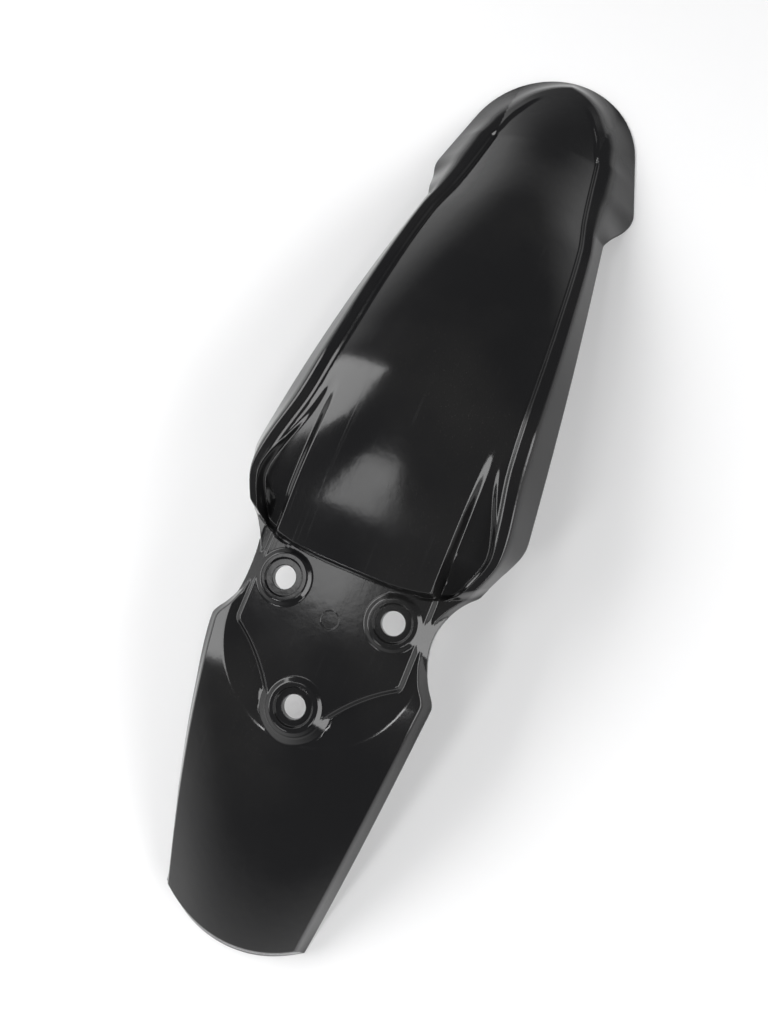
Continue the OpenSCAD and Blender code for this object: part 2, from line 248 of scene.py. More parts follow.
def half_width(x):
    """Half width of the outline at x, apart from the round tip of the nose."""
    t = (x - TAIL_CORNER_X) / (CORNER_X - TAIL_CORNER_X)
    tail = lerp(TAIL_HALF, CORNER_HALF, t) + TAIL_SIDE_BOW * np.sin(np.pi * np.clip(t, 0, 1))
    r = np.where(x < NECK_X, NOTCH_R, NOTCH_FRONT_R)
    notch = NECK_HALF + r - np.sqrt(r**2 - np.minimum(np.abs(x - NECK_X), r - 1) ** 2)
    t = (x - WING_REAR_X) / (WING_FRONT_X - WING_REAR_X)
    wing = lerp(WING_HALF, WING_FRONT_HALF, t) + WING_BOW * np.sin(np.pi * np.clip(t, 0, 1))
    sweep = SWEEP_HALF + SWEEP_SLOPE * (x - SWEEP_X)
    t = (x - WING_FRONT_X) / (NOSE_CORNER_X - WING_FRONT_X)
    closing = NOSE_R / math.cos(TAPER) + (NOSE_C - x) * math.tan(TAPER)
    nose = soft_min(lerp(WING_FRONT_HALF, NOSE_HALF, t) + NOSE_SIDE_OUT, closing, NOSE_BLEND)
    front = soft_min(soft_min(notch, sweep, SWEEP_BLEND), wing, SIDE_BLEND)
    return np.where(x < NECK_X, soft_min(tail, notch, SIDE_BLEND),
                    np.where(x < NOSE_SIDE_X, front,
                             np.where(x < NOSE_C, np.maximum(wing, nose), closing)))


def fan_edge(f):
    """Reach of the nose's outline from the centre of its round tip, by the angle off the tip."""
    return NOSE_R / np.cos(np.radians(np.clip(f - 90 + NOSE_TAPER, 0, NOSE_TAPER)))


def inset(x, a):
    """Distance in from the outline: across, or out from the nose's centre."""
    nose = fan_edge(fan_angle(x, a)) - np.hypot(x - NOSE_C, a)
    tail_end = TAIL_END_R - np.hypot(x - TAIL_END_R + TAIL_REACH, a)
    across = half_width(x) - a
    return np.where(x > NOSE_C, nose,
                    np.where(x < TAIL_END_R - TAIL_REACH, np.minimum(across, tail_end), across))


def skirt_width(x, a):
    tail = lerp(TAIL_SKIRT, NECK_SKIRT, ease(CORNER_X, NECK_X, x))
    front = lerp(NECK_SKIRT, half_width(x) - shoulder_half(x), ease(NECK_X, SKIRT_FULL_X, x))
    return np.where(x > NOSE_C, nose_skirt(fan_angle(x, a)), np.where(x < NECK_X, tail, front))


def tail_top(x, a):
    run = np.hypot(np.minimum(0, x + LEDGE_BACK), a) - LEDGE_R
    d = soft_max(run, 0 * run, LEDGE_EDGE)
    side = np.clip((-x - TAIL_CROWN_BACK) / (TAIL_REACH - TAIL_CROWN_BACK), 0, 1)
    return -PAD_RISE - TAIL_SLOPE * d - TAIL_CURVE * d**2 - TAIL_CROWN * side * (a / TAIL_HALF) ** 2


def valley_opening(x):
    """How far the valley has opened: 0 ahead of it, 1 at the rear of the hood."""
    return 1 - ease(VALLEY_FULL_X, VALLEY_START_X, x)


def front_top(x, a):
    inside = inset(x, a) - skirt_width(x, a)
    foot = np.where(x > NOSE_C, NOSE_SHOULDER, a + inside) - BEAD_W
    opening = valley_opening(x)
    valley_foot = lerp(CREASE_HALF + VALLEY_FLANK, foot, opening)
    trough = ease(CREASE_HALF, CREASE_HALF + VALLEY_FLANK, a)
    trough = trough * (1 - ease(valley_foot, valley_foot + BEAD_W / 2, a))
    ramp = ease(RAMP_END_X, RAMP_START_X, x)
    fade = np.where(x > NOSE_C, ease(BEAD_FADE[0], BEAD_FADE[1], fan_angle(x, a)), ramp)
    crown = crown_height(x) - crown_fall(x) * np.minimum(1, a / foot) ** 2
    bead = BEAD_RISE * fade * (1 - ease(BEAD_W / 2, BEAD_W, inside))
    return crown + bead - (VALLEY_DEPTH * opening + RAMP_DROP * (1 - ramp)) * trough


def hood_end(a):
    """Rear end of the hood: straight in the middle, curving forward to its corners."""
    return HOOD_END_X + HOOD_CORNER_RUN * (a / HOOD_CORNER_HALF) ** HOOD_BOW


def sheet_z(x, y):
    """Outer face of the moulding, without its pad and rings."""
    a = np.abs(y)
    u = np.clip(1 - inset(x, a) / skirt_width(x, a), 0, 1)
    bent = np.where(u < SKIRT_BEND, u**2 / (2 * SKIRT_BEND), u - SKIRT_BEND / 2)
    rise = ease(hood_end(a), hood_end(a) + HOOD_WALL_RUN, x)
    top = lerp(tail_top(x, a), front_top(x, a), rise)
    return lerp(top, edge_height(x), bent / (1 - SKIRT_BEND / 2))


def sheet_under(x, y):
    """Inner face: the outer one moved in by the wall, square to the slope."""
    h = GRAD_STEP
    dx = (sheet_z(x + h, y) - sheet_z(x - h, y)) / (2 * h)
    dy = (sheet_z(x, np.abs(y)) - sheet_z(x, np.abs(y) - h)) / h
    thick = WALL * np.minimum(SLOPE_LIMIT, np.sqrt(1 + dx**2 + dy**2))
    z = sheet_z(x, y)
    return np.minimum(z - RIM_MIN, np.maximum(z - thick, edge_height(x) - RIM_MIN))


# Outline of the pad: front, rear corner, hollow flank, fillet and round rear tip
def apex(p, q, from_p, from_q):
    """Place at the distance from_p from p and from_q from q."""
    d = np.linalg.norm(q - p)
    u = (q - p) / d
    run = (from_p**2 - from_q**2 + d**2) / (2 * d)
    return p + run * u + math.sqrt(from_p**2 - run**2) * np.array([-u[1], u[0]])


TIP_C = np.array([-REAR_HOLE_BACK, 0.0])
PAD_C = np.array([PAD_CORNER_R - PAD_CORNER_BACK, PAD_CORNER_HALF - PAD_CORNER_R])
FLANK_C = apex(FLANK_FOOT + TIP_C, PAD_C, FLANK_R, FLANK_R + PAD_CORNER_R)
FILLET_C = apex(FLANK_C, TIP_C, FLANK_R - FLANK_FILLET, PAD_TIP_R + FLANK_FILLET)


def arc(centre, r, start, end, n):
    """Arc of n steps about a centre, from one direction to another."""
    a = math.atan2(start[1], start[0])
    sweep = (math.atan2(end[1], end[0]) - a + math.pi) % (2 * math.pi) - math.pi
    t = a + sweep * np.linspace(0, 1, n + 1)
    return centre + r * np.stack([np.cos(t), np.sin(t)], 1)


# Points on the stretches of the pad's outline
FRONT_N, SIDE_N, CORNER_N, FLANK_N, FILLET_N, TIP_N = 40, 34, 14, 24, 10, 30


def pad_side(d):
    """Left half of the pad's outline, drawn in by d."""
    y = np.linspace(0, PAD_CORNER_HALF - d, FRONT_N)
    end = np.stack([hood_end(y) + PAD_FRONT - PAD_FRONT * ease(*PAD_FRONT_FADE, y), y], 1)
    corner = arc(PAD_C, PAD_CORNER_R - d, (0, 1), FLANK_C - PAD_C, CORNER_N)
    return np.concatenate([
        end,
        np.linspace(end[-1], corner[0], SIDE_N)[1:-1],
        corner,
        arc(FLANK_C, FLANK_R + d, PAD_C - FLANK_C, FILLET_C - FLANK_C, FLANK_N)[1:],
        arc(FILLET_C, FLANK_FILLET + d, FILLET_C - FLANK_C, TIP_C - FILLET_C, FILLET_N)[1:],
        arc(TIP_C, PAD_TIP_R - d, FILLET_C - TIP_C, (-1, 0), TIP_N)[1:],
    ])


PAD_LINE = pad_side(0)
PAD_LOOP = np.concatenate([PAD_LINE, PAD_LINE[-2:0:-1] * [1, -1]])


def inside_loop(loop, p):
    """Which of the points p lie inside a closed loop."""
    a, b = loop, np.roll(loop, -1, 0)
    inside = np.zeros(len(p), bool)
    for (ax, ay), (bx, by) in zip(a, b):
        if ay == by:
            continue
        crosses = (ay > p[:, 1]) != (by > p[:, 1])
        inside ^= crosses & (p[:, 0] < (bx - ax) * (p[:, 1] - ay) / (by - ay) + ax)
    return inside


def loop_distance(loop, p):
    """Distance of each point p from a closed loop."""
    best = np.full(len(p), 1e9)
    for a, b in zip(loop, np.roll(loop, -1, 0)):
        ab = b - a
        length = ab @ ab
        if length < 1e-12:
            continue
        t = np.clip(((p - a) @ ab) / length, 0, 1)
        best = np.minimum(best, np.hypot(*(p - a - t[:, None] * ab).T))
    return best


def pad_inset(x, y):
    """Distance in from the pad's top edge, below zero outside it."""
    p = np.stack([x, np.abs(y)], 1)
    return np.where(inside_loop(PAD_LOOP, p), 1, -1) * loop_distance(PAD_LOOP, p)


def hole_distance(x, y):
    return np.min([np.hypot(x - hx, y - hy) for hx, hy in HOLES], 0)


PAD_AREA = (-112, 34, 74)


def near_pad(x, y):
    """Which points lie in the area that holds the pad and its rings."""
    rear, front, half = PAD_AREA
    return (x > rear) & (x < front) & (np.abs(y) < half)


def outer_z(x, y):
    """Outer face with the pad, the rings, the washer seats and the gate mark."""
    z = sheet_z(x, y)
    near = near_pad(x, y)
    if near.any():
        px, py = x[near], y[near]
        flank = soft_min(0 * px, pad_inset(px, py) / PAD_SLANT, PAD_EDGE)
        body = soft_max(z[near], flank, PAD_FOOT)
        gate = np.hypot(px + GATE_BACK, py)
        body = body - GATE_SINK * (1 - ease(GATE_D / 2 - GATE_EDGE, GATE_D / 2 + GATE_EDGE, gate))
        r = hole_distance(px, py)
        cone = RING_RISE * (RING_BASE_D / 2 - r) / (RING_BASE_D / 2 - RING_D / 2)
        bowl = SEAT_Z + SEAT_SINK * (r - SEAT_D / 2) / SEAT_FLARE
        bowl = soft_max(bowl, SEAT_Z + 0 * r, SEAT_EDGE)
        ring = soft_min(soft_min(cone, RING_RISE + 0 * r, RING_EDGE), bowl, RING_EDGE)
        z[near] = np.where(r < RING_D / 2 - 1, ring, soft_max(body, ring, RING_EDGE))
    return z


def inner_z(x, y):
    """Inner face with the hollow under the pad and the collars."""
    z = sheet_under(x, y)
    near = near_pad(x, y)
    if near.any():
        px, py = x[near], y[near]
        wall_in = WALL * math.hypot(1, PAD_SLANT)
        ceiling = soft_min(-WALL + 0 * px, (pad_inset(px, py) - wall_in) / PAD_SLANT, PAD_FOOT)
        body = soft_max(z[near], ceiling, PAD_FOOT)
        r = hole_distance(px, py)
        collar = ease(COLLAR_D / 2 - COLLAR_EDGE, COLLAR_D / 2 + COLLAR_EDGE, r)
        z[near] = lerp(np.minimum(-COLLAR_DEPTH, body), body, collar)
    return z


# Rays from the spine out to the edge; each follows the tail's end, the ledge or the hood's rear end
NECK_BOW = 1.4
TAIL_STEPS, LEDGE_STEPS, NECK_STEPS, WALL_STEPS, RAMP_STEPS = 46, 10, 44, 18, 24
WING_STEPS, CORNER_STEPS, NOSE_STEPS, FAN_STEPS = 70, 22, 9, 45
SETTLE_STEPS, HOOD_SETTLE_STEPS = 40, 8


def span(a, b, n):
    return np.linspace(a, b, n, endpoint=False)


def hood_ray_end(c):
    """Place along the length where the hood's rear end, moved to start at c, meets the outline."""
    e = np.full_like(c, HOOD_END_X + HOOD_CORNER_RUN)
    for _ in range(HOOD_SETTLE_STEPS):
        e = c + HOOD_CORNER_RUN * (half_width(e) / HOOD_CORNER_HALF) ** HOOD_BOW
    return e


LEDGE_X = -LEDGE_BACK - LEDGE_R
TAIL_RAY, TAIL_RAY_END = TAIL_SKIRT - TAIL_REACH, TAIL_SKIRT + TAIL_CORNER_X
LEDGE_RAY, LEDGE_RAY_END = LEDGE_X - 4, CORNER_X + 4
NECK_RAY, NECK_RAY_END = LEDGE_X + 8, CORNER_X + 14
WALL_RAY, RAMP_RAY = HOOD_END_X - 1, HOOD_END_X + HOOD_WALL_RUN + 1
CORNER_RAY, NOSE_RAY = WING_FRONT_X - 8, NOSE_CORNER_X + 6
wall_end, ramp_end = hood_ray_end(np.array([WALL_RAY])), hood_ray_end(np.array([RAMP_RAY]))

tail_t, ledge_t, neck_t = span(0, 1, TAIL_STEPS)[1:], span(0, 1, LEDGE_STEPS), span(0, 1, NECK_STEPS)
wall_c, ramp_t = span(WALL_RAY, RAMP_RAY, WALL_STEPS), span(0, 1, RAMP_STEPS)
neck_bow = np.where(neck_t < 0.5, lerp(LEDGE_BOW, NECK_BOW, 2 * neck_t),
                    lerp(NECK_BOW, HOOD_BOW, 2 * neck_t - 1))
straight = np.concatenate([
    span(WING_REAR_X, CORNER_RAY, WING_STEPS), span(CORNER_RAY, NOSE_RAY, CORNER_STEPS),
    span(NOSE_RAY, NOSE_C, NOSE_STEPS),
])
ray_from = np.concatenate([
    lerp(TAIL_RAY, LEDGE_RAY, tail_t), lerp(LEDGE_RAY, NECK_RAY, ledge_t),
    lerp(NECK_RAY, WALL_RAY, neck_t), wall_c, lerp(RAMP_RAY, WING_REAR_X, ramp_t), straight,
])
ray_to = np.concatenate([
    lerp(TAIL_RAY_END, LEDGE_RAY_END, tail_t), lerp(LEDGE_RAY_END, NECK_RAY_END, ledge_t),
    lerp(NECK_RAY_END, wall_end, neck_t), hood_ray_end(wall_c), lerp(ramp_end, WING_REAR_X, ramp_t),
    straight,
])
ray_bow = np.concatenate([
    np.full(len(tail_t) + len(ledge_t), LEDGE_BOW), neck_bow,
    np.full(len(wall_c) + len(ramp_t), HOOD_BOW), np.ones(len(straight)),
])
ray_edge = half_width(ray_to)

# Distances in from the tail's end of the first rays, which follow its curve
tail_end_steps = np.array([RIM_ROUND, 1.2, 1.9, 2.8, 3.9, 5.2, 6.5, TAIL_SKIRT])


def ray_x(y):
    """Place along the length of every ray where it has come out to y."""
    end_r = TAIL_END_R - tail_end_steps
    end = TAIL_END_R - TAIL_REACH - np.sqrt(np.maximum(end_r**2 - y[: len(end_r)] ** 2, 0))
    rest = ray_from + (ray_to - ray_from) * (y[len(end_r):] / ray_edge) ** ray_bow
    return np.concatenate([end, rest])


# Columns on the crown, the crease, the valley, its far side, the way to the bead and its outer slope;
# then the columns' shares of the way down the skirt
COLUMNS = (15, 6, 4, 7, 8, 4)
SKIRT_SHARES = (0, 0.07, 0.14, 0.22, 0.31, 0.41, 0.52, 0.64, 0.76, 0.88, 0.95, 1)
LEAST_FLANK = 4


def places(edge, skirt_w, opening):
    """Places across: even over the crown, then close over the valley, the bead, the skirt and the rim."""
    shoulder = edge - skirt_w
    foot = shoulder - BEAD_W
    crease = np.minimum(CREASE_HALF, foot - VALLEY_FLANK - LEAST_FLANK)
    flank = np.minimum(crease + VALLEY_FLANK, foot - LEAST_FLANK)
    valley = np.maximum(lerp(flank, foot, opening), flank + 1)
    crest = np.minimum(valley + BEAD_W / 2, foot + BEAD_W / 4)
    bead, rim = foot + BEAD_W / 2, edge - RIM_ROUND
    marks = [0 * crease, crease, flank, valley, crest, bead, shoulder]
    across = [lerp(a, b, t) for a, b, n in zip(marks, marks[1:], COLUMNS) for t in span(0, 1, n)]
    return np.stack(across + [lerp(shoulder, rim, t) for t in SKIRT_SHARES])


n_side = len(tail_end_steps) + len(ray_from)
n_cols = sum(COLUMNS) + len(SKIRT_SHARES)
side_x, side_y = np.zeros((n_side, n_cols)), np.zeros((n_side, n_cols))
for j in range(n_cols):
    y = np.full(n_side, 40.0 * j / n_cols)
    for _ in range(SETTLE_STEPS):
        x = ray_x(y)
        y = (y + places(half_width(x), skirt_width(x, 0 * x), valley_opening(x))[j]) / 2
    side_x[:, j], side_y[:, j] = ray_x(y), y
fan = np.radians(np.linspace(90, 0, FAN_STEPS + 1))
fan_r = places(fan_edge(np.degrees(fan)), nose_skirt(np.degrees(fan)), 0 * fan).T
grid_x = np.concatenate([side_x, NOSE_C + fan_r * np.cos(fan)[:, None]])
grid_y = np.concatenate([side_y, fan_r * np.sin(fan)[:, None]])
grid_x = np.concatenate([grid_x, grid_x[-2::-1]])
grid_y = np.concatenate([grid_y, -grid_y[-2::-1]])

# Both halves share the spine, and all rays of the nose share its centre
ray = np.arange(len(grid_x))
ids = np.arange(grid_x.size).reshape(grid_x.shape)
ids[:, 0] = np.minimum(np.minimum(ray, ray[::-1]), n_side) * n_cols
plan = np.stack([grid_x.ravel(), grid_y.ravel()], 1)
cells = np.stack([ids[:-1, :-1], ids[1:, :-1], ids[1:, 1:], ids[:-1, 1:]], -1).reshape(-1, 4)

# The pad is cut out of the sheet as a patch of its own, so that its lines follow its edges
PATCH_MARGIN, PATCH_TO_HOOD = 7.5, 0.6
in_patch = near_pad(plan[:, 0], plan[:, 1])
in_patch[in_patch] = pad_inset(*plan[in_patch].T) > -PATCH_MARGIN
in_patch &= plan[:, 0] < hood_end(np.abs(plan[:, 1])) - PATCH_TO_HOOD
cut = in_patch[cells].all(1)
sheet_cells = cells[~cut]


def corners(cell):
    """Corners of a cell, each one once."""
    return [int(v) for v, w in zip(cell, np.roll(cell, -1)) if v != w]


def border(faces):
    """The closed loop of edges that only one of the faces has."""
    ways = {}
    for f in faces:
        ring = corners(f)
        for way in zip(ring, ring[1:] + ring[:1]):
            ways[way] = True
    after = {v: w for v, w in ways if (w, v) not in ways}
    loop = [min(after)]
    while after[loop[-1]] != loop[0]:
        loop.append(after[loop[-1]])
    return loop


patch_loop = border(cells[cut])
loop_plan = plan[patch_loop]


def circle(centre, r, n):
    t = 2 * math.pi * np.arange(n) / n
    return np.stack([centre[0] + r * np.cos(t), centre[1] + r * np.sin(t)], 1)


BORE_N, GATE_N = 96, 64
BORE_R = HOLE_D / 2 + BORE_ROUND

# Free points of a patch stand in rows of even triangles, and keep away from the pad's edge, the rings,
# the gate mark and the loop by these shares of their spacing
ROW_STEP = 0.866
FREE_AREA = (-114, 36, 70)
EDGE_GAP, RING_GAP, GATE_GAP, LOOP_GAP = 0.8, 0.5, 0.3, 0.35

# Half the width of the gate mark's lines, and how far the pad's lines keep off the rings and the loop
GATE_LINES, LINE_TO_RING, LINE_TO_LOOP = 1.4, 0.3, 0.4
INNER_TRIANGLES, MERGE = 1, 1e-5


def fill_patch(insets, radii, gate_radii, fill):
    """Triangles over the patch whose edges follow the pad's outline, the rings and the gate mark.
    Gives the new places, the triangles by place, and for each place its point on the loop, or -1."""
    lines = []
    for d in insets:
        side = pad_side(d)[FRONT_N:]
        lines += [(side, False), (side[:-1] * [1, -1], False)]
    for centre in HOLES:
        lines += [(circle(centre, r, BORE_N), True) for r in radii]
    lines += [(circle((-GATE_BACK, 0), r, GATE_N), True) for r in gate_radii]

    points = [tuple(p) for p in loop_plan]
    n_loop = len(points)
    edges = [(i, (i + 1) % n_loop) for i in range(n_loop)]
    for line, closed in lines:
        keep = inside_loop(loop_plan, line) & (loop_distance(loop_plan, line) > LINE_TO_LOOP)
        if not closed:
            keep &= hole_distance(*line.T) > max(radii) + LINE_TO_RING
        number = np.cumsum(keep) - 1 + len(points)
        points += [tuple(p) for p in line[keep]]
        n = len(line)
        for i in range(n if closed else n - 1):
            k = (i + 1) % n
            if keep[i] and keep[k]:
                edges.append((int(number[i]), int(number[k])))

    rear, front, half = FREE_AREA
    gx, gy = np.meshgrid(np.arange(rear, front, fill), np.arange(-half, half + 0.1, fill * ROW_STEP))
    gx = gx + fill / 2 * (np.arange(len(gx)) % 2)[:, None]
    free = np.stack([gx.ravel(), gy.ravel()], 1)
    gate = np.hypot(free[:, 0] + GATE_BACK, free[:, 1])
    keep = np.abs(pad_inset(*free.T)) > EDGE_GAP * fill
    keep &= hole_distance(*free.T) > max(radii) + RING_GAP * fill
    keep &= np.abs(gate - GATE_D / 2) > GATE_LINES + GATE_GAP * fill
    keep &= inside_loop(loop_plan, free) & (loop_distance(loop_plan, free) > LOOP_GAP * fill)
    points += [tuple(p) for p in free[keep]]

    made = delaunay_2d_cdt([Vector(p) for p in points], edges, [], INNER_TRIANGLES, MERGE)
    place = np.array([tuple(v) for v in made[0]])
    faces = np.array([f for f in made[2] if len(f) == 3])
    faces = faces[hole_distance(*place[faces].mean(1).T) > BORE_R]
    source = [min([o for o in v if o < n_loop], default=-1) for v in made[3]]
    return place, faces, source


outer_patch = fill_patch(
    [-5.2, -4.6, -4.1, -3.7, -3.3, -2.9, -2.3, -1.6, -1.1, -0.8, -0.5, -0.2, 0.1, 0.4, 0.7, 1.0, 1.6],
    [BORE_R, 9.8, 11.2, 12.3, 12.65, 12.85, 13.0, 13.2, 13.5, 13.75, 14.0, 14.3, 15.5, 16.4, 16.75, 17.0,
     17.3, 17.8, 18.8, 19.7, 20.1, 20.5, 20.9, 21.4],
    [5.4, 5.9, 6.15, 6.35, 6.5, 6.65, 6.85, 7.1, 7.7], 3.4,
)
inner_patch = fill_patch(
    [-4.0, -3.0, -2.4, -2.0, -1.6, -1.0, -0.3, 0.4, 0.8, 1.1, 1.4, 1.8, 2.4],
    [BORE_R, 11, 13, 14.6, 15.2, 15.35, 15.5, 15.6, 15.7, 15.85, 16.0, 16.8, 18.5], [], 4.2,
)


# One mesh: outer face, inner face, rounded cut edge and the three bores
NORMAL_STEP = 0.03
points, normals, faces = [], [], []


def surface(height, p, side):
    """Points on a face and their normals, which side turns up (1) or down (-1)."""
    x, y = p.T.astype(float)
    h = NORMAL_STEP
    dx = (height(x + h, y) - height(x - h, y)) / (2 * h)
    dy = (height(x, y + h) - height(x, y - h)) / (2 * h)
    n = np.stack([-dx, -dy, np.ones_like(dx)], 1) * side
    return np.column_stack([p, height(x, y)]), n / np.linalg.norm(n, axis=1)[:, None]


def add_points(p, n):
    """Adds points with their normals, and gives the number of the first."""
    first = sum(len(a) for a in points)
    points.append(p)
    normals.append(n)
    return first


def add_face(height, patch, side):
    """The sheet and its patch. Gives the number of its first point, and the points round each bore."""
    base = add_points(*surface(height, plan, side))
    for cell in sheet_cells:
        faces.append([v + base for v in corners(cell)[::side]])
    place, triangles, source = patch
    first = add_points(*surface(height, place, side))
    number = np.array([first + i if k < 0 else base + patch_loop[k] for i, k in enumerate(source)])
    for t in triangles:
        (ax, ay), (bx, by), (cx, cy) = place[t]
        turned = ((bx - ax) * (cy - ay) - (by - ay) * (cx - ax)) * side
        faces.append([int(number[v]) for v in (t if turned > 0 else t[::-1])])
    rings = []
    for centre in HOLES:
        d = place - circle(centre, BORE_R, BORE_N)[:, None]
        rings.append([int(number[i]) for i in np.argmin(np.hypot(d[..., 0], d[..., 1]), 1)])
    return base, rings


top_base, top_rings = add_face(outer_z, outer_patch, 1)
low_base, low_rings = add_face(inner_z, inner_patch, -1)


def band(upper, lower, rows, row_normals):
    """Closed strip between two rings of points, with rows of new points between them."""
    n = len(upper)
    lines = [upper]
    for p, q in zip(rows, row_normals):
        first = add_points(p, q)
        lines.append([first + i for i in range(n)])
    lines.append(lower)
    for a, b in zip(lines, lines[1:]):
        for i in range(n):
            k = (i + 1) % n
            faces.append([a[k], b[k], b[i], a[i]])


# Rounded cut edge: it leaves the outer face and meets the inner one without a corner. Its bend comes
# out to three quarters of its handles' reach
RIM_SHARE, BEND_SHARE = 0.85, 0.75
RIM_TURNS = (0.12, 0.28, 0.5, 0.72, 0.88)
rim = np.concatenate([ids[:, -1], ids[-1, -2::-1], ids[0, 1:-1]])
top_rim, low_rim = [[int(v) + base for v in rim] for base in (top_base, low_base)]
ahead = np.roll(plan[rim], -1, 0) - plan[rim]
behind = plan[rim] - np.roll(plan[rim], 1, 0)
unit = ahead / np.linalg.norm(ahead, axis=1)[:, None] + behind / np.linalg.norm(behind, axis=1)[:, None]
out = np.stack([-unit[:, 1], unit[:, 0]], 1)
out /= np.linalg.norm(out, axis=1)[:, None]
along = np.column_stack([unit, np.zeros(len(unit))])
all_points, all_normals = np.concatenate(points), np.concatenate(normals)


def run_out(normal):
    """Way out along a face, square to the edge."""
    flat = np.column_stack([out, np.zeros(len(out))])
    way = flat - (flat * normal).sum(1)[:, None] * normal
    return way / np.linalg.norm(way, axis=1)[:, None]


high, low = all_points[top_rim], all_points[low_rim]
reach = RIM_SHARE * RIM_ROUND / BEND_SHARE
bend_1, bend_2 = high + reach * run_out(all_normals[top_rim]), low + reach * run_out(all_normals[low_rim])
rows, row_normals = [], []
for t in RIM_TURNS:
    s = 1 - t
    rows.append(s**3 * high + 3 * s * s * t * bend_1 + 3 * s * t * t * bend_2 + t**3 * low)
    slope = s * s * (bend_1 - high) + 2 * s * t * (bend_2 - bend_1) + t * t * (low - bend_2)
    n = np.cross(along, slope)
    n /= np.linalg.norm(n, axis=1)[:, None]
    row_normals.append(n * np.sign((n[:, :2] * out).sum(1))[:, None])
band(top_rim, low_rim, rows, row_normals)

# Bores with rounded edges, in quarter turns
EDGE_TURNS = (0.25, 0.5, 0.75, 1.0)
for centre, upper, lower in zip(HOLES, top_rings, low_rings):
    ring = circle((0, 0), 1, BORE_N)
    rows, row_normals = [], []
    for z, side, turns in ((SEAT_Z, 1, EDGE_TURNS), (-COLLAR_DEPTH, -1, EDGE_TURNS[::-1])):
        for t in turns:
            c, s = math.cos(t * math.pi / 2), math.sin(t * math.pi / 2)
            at = np.array(centre) + (BORE_R - BORE_ROUND * s) * ring
            rows.append(np.column_stack([at, np.full(BORE_N, z - side * BORE_ROUND * (1 - c))]))
            row_normals.append(np.column_stack([-s * ring, np.full(BORE_N, side * c)]))
    band(upper, lower, rows, row_normals)

# Only the points that carry a face go into the mesh
used = sorted({v for f in faces for v in f})
number = {v: i for i, v in enumerate(used)}
places_used, normals_used = np.concatenate(points)[used] * MM, np.concatenate(normals)[used]
mesh = bpy.data.meshes.new("mudguard_moulding")
mesh.from_pydata([tuple(p) for p in places_used], [], [[number[v] for v in f] for f in faces])
mesh.update()
mesh.shade_smooth()
mesh.normals_split_custom_set_from_vertices([tuple(n) for n in normals_used])
moulding = bpy.data.objects.new("mudguard_moulding", mesh)
bpy.context.scene.collection.objects.link(moulding)
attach(moulding, "root")
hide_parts("mudguard")


# Material: gloss black moulded plastic
BLACK, DUSTY = (0.0065, 0.0065, 0.007, 1), (0.028, 0.027, 0.025, 1)
PLASTIC_IOR = 1.49
POLISH_BEST, POLISH_WORST = 0.075, 0.17
LEAST_DUST = 0.3
RUB_TURNS = (24, -37)
RUB_GRAIN = (14.0, 620.0, 60.0)
RUB_DULLING, RUB_DEPTH = 0.1, 0.15
RIPPLE_SCALE, RIPPLE_DETAIL = 150.0, 2.0
RELIEF_STRENGTH, RELIEF_DEPTH = 0.22, 0.0002

# Patterns of noise: scale, detail, and the stretch of its values that is spread out
DUST = (9.0, 6.0, 0.45, 0.75)
SPECKS = (900.0, 1.0, 0.68, 0.76)
SHEEN = (22.0, 4.0, 0.25, 0.75)
RUB_LINES = (1.0, 1.0, 0.66, 0.74)
RUB_PATCHES = (0.11, 1.0, 0.48, 0.62)


def node(tree, kind, at, **settings):
    made = tree.nodes.new(kind)
    made.location = at
    for name, value in settings.items():
        setattr(made, name, value)
    return made


def noise(tree, source, at, scale, detail):
    made = node(tree, "ShaderNodeTexNoise", at)
    made.inputs["Scale"].default_value = scale
    made.inputs["Detail"].default_value = detail
    tree.links.new(source, made.inputs["Vector"])
    return made.outputs["Fac"]


def ranged(tree, source, at, start, end, to_start=0.0, to_end=1.0):
    """The source from start to end, spread out from to_start to to_end."""
    made = node(tree, "ShaderNodeMapRange", at)
    for name, value in (("From Min", start), ("From Max", end), ("To Min", to_start), ("To Max", to_end)):
        made.inputs[name].default_value = value
    tree.links.new(source, made.inputs["Value"])
    return made.outputs["Result"]


def pattern(tree, source, x, y, kind, to_start=0.0, to_end=1.0):
    """Noise of one kind, spread out from to_start to to_end."""
    scale, detail, start, end = kind
    grey = noise(tree, source, (x, y), scale, detail)
    return ranged(tree, grey, (x + 200, y), start, end, to_start, to_end)


def joined(tree, kind, a, b, at):
    """Sum, product or the like of a source and another one, or a number."""
    made = node(tree, "ShaderNodeMath", at, operation=kind)
    for value, entry in zip((a, b), made.inputs):
        if isinstance(value, float):
            entry.default_value = value
        else:
            tree.links.new(value, entry)
    return made.outputs["Value"]


def mixed(tree, factor, a, b, at):
    """Colour a, or b where the factor is 1."""
    made = node(tree, "ShaderNodeMix", at, data_type="RGBA")
    made.inputs["A"].default_value, made.inputs["B"].default_value = a, b
    tree.links.new(factor, made.inputs["Factor"])
    return made.outputs["Result"]


def rub_marks(tree, source, turned, x, y):
    """Fine rub marks that run one way, in a few patches only."""
    way = node(tree, "ShaderNodeMapping", (x, y))
    way.inputs["Rotation"].default_value = (0, 0, math.radians(turned))
    way.inputs["Scale"].default_value = RUB_GRAIN
    tree.links.new(source, way.inputs["Vector"])
    grain = way.outputs["Vector"]
    lines = pattern(tree, grain, x + 200, y, RUB_LINES)
    patches = pattern(tree, grain, x + 200, y - 250, RUB_PATCHES)
    return joined(tree, "MULTIPLY", lines, patches, (x + 600, y))


plastic = bpy.data.materials.new("gloss_black_plastic")
plastic.use_nodes = True
tree = plastic.node_tree
shader = tree.nodes["Principled BSDF"]
shader.inputs["IOR"].default_value = PLASTIC_IOR
place_in = node(tree, "ShaderNodeTexCoord", (-2200, 0)).outputs["Object"]

